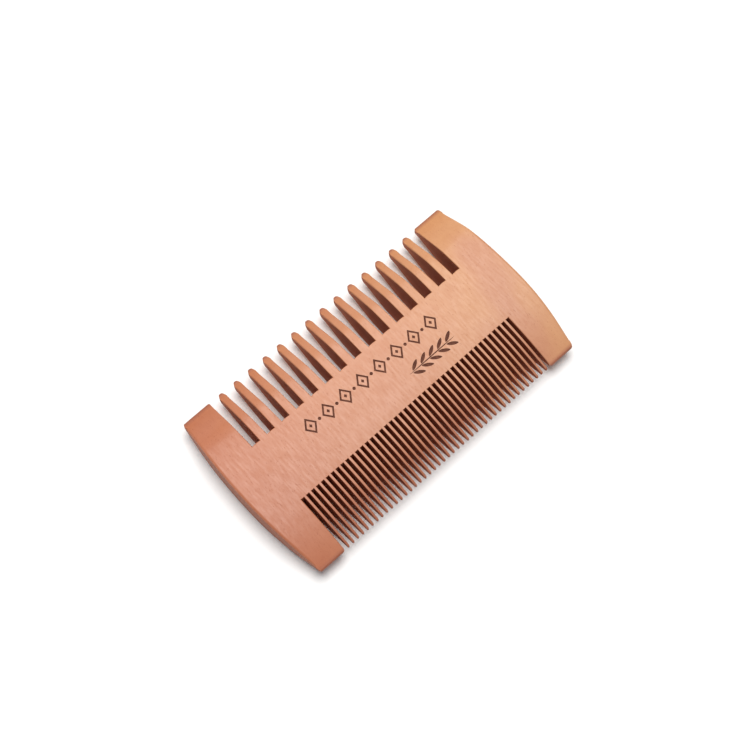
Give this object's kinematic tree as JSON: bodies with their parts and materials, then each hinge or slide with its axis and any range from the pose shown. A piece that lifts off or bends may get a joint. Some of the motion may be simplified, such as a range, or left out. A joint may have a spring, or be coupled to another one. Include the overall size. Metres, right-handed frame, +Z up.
{
  "type": "beard comb",
  "caption": "Flat wooden pocket comb, coarse teeth on one long edge and fine teeth on the other, between bowed end guards that thin to the tips.",
  "frame": {"origin": "under the middle of the comb, on the surface that its lower face lies on", "axes": "+X along the comb, +Y towards the coarse teeth, +Z up through its thickness"},
  "size_m": [0.1, 0.056, 0.01],
  "materials": {
    "comb_wood": "fine-sanded, lightly oiled close-grained fruit wood with a soft satin sheen"
  },
  "bodies": {
    "root": {"spine": "comb_wood", "left_end_guard": "comb_wood", "right_end_guard": "comb_wood", "coarse_teeth": "comb_wood", "fine_teeth": "comb_wood"}
  },
  "joints": []
}
